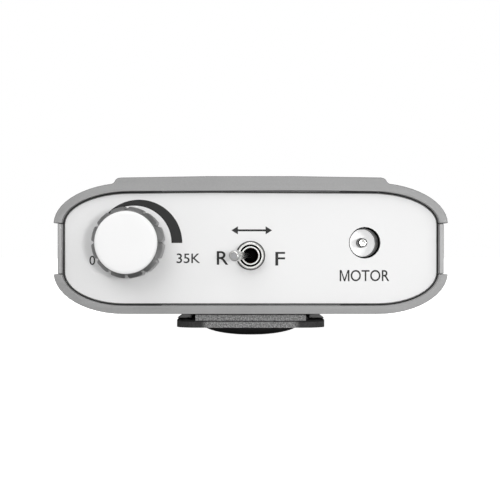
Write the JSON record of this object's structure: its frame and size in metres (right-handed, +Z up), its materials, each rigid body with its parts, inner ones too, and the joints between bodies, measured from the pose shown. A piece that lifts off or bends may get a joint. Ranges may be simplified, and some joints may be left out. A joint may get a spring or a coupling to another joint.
{
  "type": "portable rotary motor speed controller",
  "caption": "Belt-worn battery control box for a hand-held rotary drill: speed knob, direction toggle and motor socket in front, charging socket behind, sprung clip below.",
  "frame": {"origin": "middle of the base: the centre of the bounding box in plan, on the surface the clip's cushion rests on", "axes": "+X to the right as the front panel is read, +Y from the front panel to the rear panel, +Z up"},
  "size_m": [0.085, 0.1404, 0.0364],
  "materials": {
    "shell_grey": "satin silver-grey moulded plastic",
    "rail_grey": "satin grey extruded strip",
    "panel_white": "satin white with printed legends",
    "knob_silver": "satin, fluted",
    "knob_white": "satin white",
    "nickel": "bright plated",
    "pot_steel": "plain",
    "screw_steel": "zinc plated",
    "socket_white": "moulded",
    "inner_black": "moulded",
    "toggle_red": "moulded",
    "circuit_green": "solder-masked board",
    "choke_ferrite": "ferrite and copper winding",
    "lamp_green": "clear tinted lens",
    "cell_wrap": null,
    "wire_red": "insulated wire",
    "wire_black": "insulated wire",
    "clip_dark": "moulded",
    "clip_speckled": "dark with a fine speckled texture on the thumb end",
    "cushion_black": "satin black"
  },
  "bodies": {
    "root": {"upper_shell": "shell_grey", "lower_shell": "shell_grey", "side_rail_left": "rail_grey", "side_rail_right": "rail_grey", "front_panel": "panel_white", "rear_panel": "panel_white", "case_screw_front_left": "screw_steel", "case_screw_front_right": "screw_steel", "case_screw_rear_left": "screw_steel", "case_screw_rear_right": "screw_steel", "speed_bushing": "nickel", "speed_washer": "nickel", "speed_nut": "nickel", "speed_pot_body": "pot_steel", "speed_pot_track": "inner_black", "power_switch_body": "inner_black", "toggle_frame": "nickel", "toggle_body": "toggle_red", "toggle_terminal_left": "nickel", "toggle_terminal_centre": "nickel", "toggle_terminal_right": "nickel", "motor_socket_body": "socket_white", "motor_socket_pin": "nickel", "motor_socket_contact": "nickel", "charge_socket_body": "inner_black", "charge_socket_pin": "nickel", "charge_socket_contact": "nickel", "main_board": "circuit_green", "filter_capacitor_large": "inner_black", "filter_capacitor_small": "inner_black", "choke_coil": "choke_ferrite", "motor_transistor": "inner_black", "control_chip": "inner_black", "battery_connector": "socket_white", "charge_board": "circuit_green", "charge_lamp": "lamp_green", "board_screw_left": "screw_steel", "board_screw_right": "screw_steel", "battery_cell_left": "cell_wrap", "battery_cell_centre": "cell_wrap", "battery_cell_right": "cell_wrap", "battery_cradle": "inner_black", "nickel_strip_front": "nickel", "nickel_strip_rear": "nickel", "battery_lead_red": "wire_red", "battery_lead_black": "wire_black", "charge_lead_red": "wire_red", "clip_base": "clip_dark", "clip_pin": "screw_steel", "clip_spring": "screw_steel", "clip_screw_left": "screw_steel", "clip_screw_right": "screw_steel"},
    "knob": {"knob_grip": "knob_silver", "knob_cap": "knob_white", "speed_shaft": "nickel", "speed_pot_wiper": "nickel"},
    "toggle_bat": {"toggle_lever": "nickel"},
    "toggle_see_saw": {"toggle_rocker": "nickel"},
    "clip": {"clip_lever": "clip_speckled", "clip_cushion": "cushion_black"}
  },
  "joints": [
    {"name": "knob_turn", "type": "hinge", "parent": "root", "child": "knob", "pos_m": [-0.02604, -0.05825, 0.02207], "axis": [0, 1, 0], "range_deg": [0, 300]},
    {"name": "toggle_throw", "type": "hinge", "parent": "root", "child": "toggle_bat", "pos_m": [-0.00004, -0.05775, 0.0193], "axis": [0, 0, 1], "range_deg": [0, 32]},
    {"name": "toggle_see_saw_tilt", "type": "hinge", "parent": "root", "child": "toggle_see_saw", "pos_m": [-0.00004, -0.0495, 0.0193], "axis": [0, 0, 1], "range_deg": [-18, 0.5]},
    {"name": "clip_hinge", "type": "hinge", "parent": "root", "child": "clip", "pos_m": [0, -0.02875, 0.00535], "axis": [-1, 0, 0], "range_deg": [0, 6], "stiffness_Nm_per_rad": 0.5, "springref_deg": -28.65, "deforming": ["clip_spring"]}
  ],
  "couplings": [
    {"joint": "toggle_see_saw_tilt", "follows": "toggle_throw", "ratio": -0.5}
  ]
}
